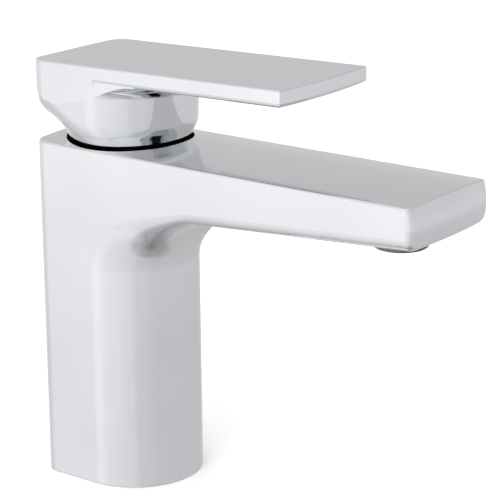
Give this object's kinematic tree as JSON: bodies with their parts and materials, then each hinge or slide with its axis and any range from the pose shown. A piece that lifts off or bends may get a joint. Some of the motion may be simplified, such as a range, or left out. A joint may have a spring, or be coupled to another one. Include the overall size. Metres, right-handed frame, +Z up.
{
  "type": "single-lever basin mixer tap",
  "caption": "Deck-mounted single-lever basin mixer in polished chrome: D-plan column swept into a flat square spout, wide flat lever on a tapered hub, ceramic-disc cartridge, aerator.",
  "frame": {"origin": "on the deck surface, on the common axis of the column and the cartridge, where the fixing hole in the deck is centred", "axes": "+Z up along the cartridge axis, -Y towards the spout and the user, +X to the user's right"},
  "size_m": [0.0478, 0.1509, 0.1467],
  "materials": {
    "chrome_plate": "polished",
    "brass_parts": "machined",
    "steel_parts": "machined",
    "cartridge_plastic": "satin",
    "dark_plastic": "satin",
    "aerator_plastic": "gloss",
    "limit_plastic": "satin",
    "disc_ceramic": "lapped",
    "rubber_seals": "matte"
  },
  "bodies": {
    "fixture": {"faucet_body": "chrome_plate", "base_gasket": "rubber_seals", "cartridge_housing": "cartridge_plastic", "housing_oring": "rubber_seals", "cartridge_base": "cartridge_plastic", "base_seals": "rubber_seals", "disc_seals": "rubber_seals", "fixed_disc": "disc_ceramic", "retaining_nut": "brass_parts", "hot_limit_ring": "limit_plastic", "aerator_housing": "chrome_plate", "aerator_insert": "aerator_plastic", "aerator_regulator": "aerator_plastic", "aerator_seal": "rubber_seals"},
    "turret": {"rotor": "dark_plastic", "rotor_oring": "rubber_seals", "stem_pivot_pin": "steel_parts"},
    "handle": {"lever_handle": "chrome_plate", "handle_grub_screw": "steel_parts", "index_plug": "chrome_plate", "lever_stem": "brass_parts"},
    "valve_slide": {"moving_disc": "disc_ceramic", "disc_carrier": "dark_plastic"}
  },
  "joints": [
    {"name": "temperature", "type": "hinge", "parent": "fixture", "child": "turret", "pos_m": [0, 0, 0.13], "axis": [0, 0, 1], "range_deg": [-45, 45]},
    {"name": "lift", "type": "hinge", "parent": "turret", "child": "handle", "pos_m": [0, 0, 0.13], "axis": [-1, 0, 0], "range_deg": [0, 12]},
    {"name": "disc_slide", "type": "slide", "parent": "turret", "child": "valve_slide", "axis": [0, -1, 0], "range_m": [0, 0.004]}
  ],
  "couplings": [
    {"joint": "disc_slide", "follows": "lift", "m_per_rad": 0.0184}
  ]
}
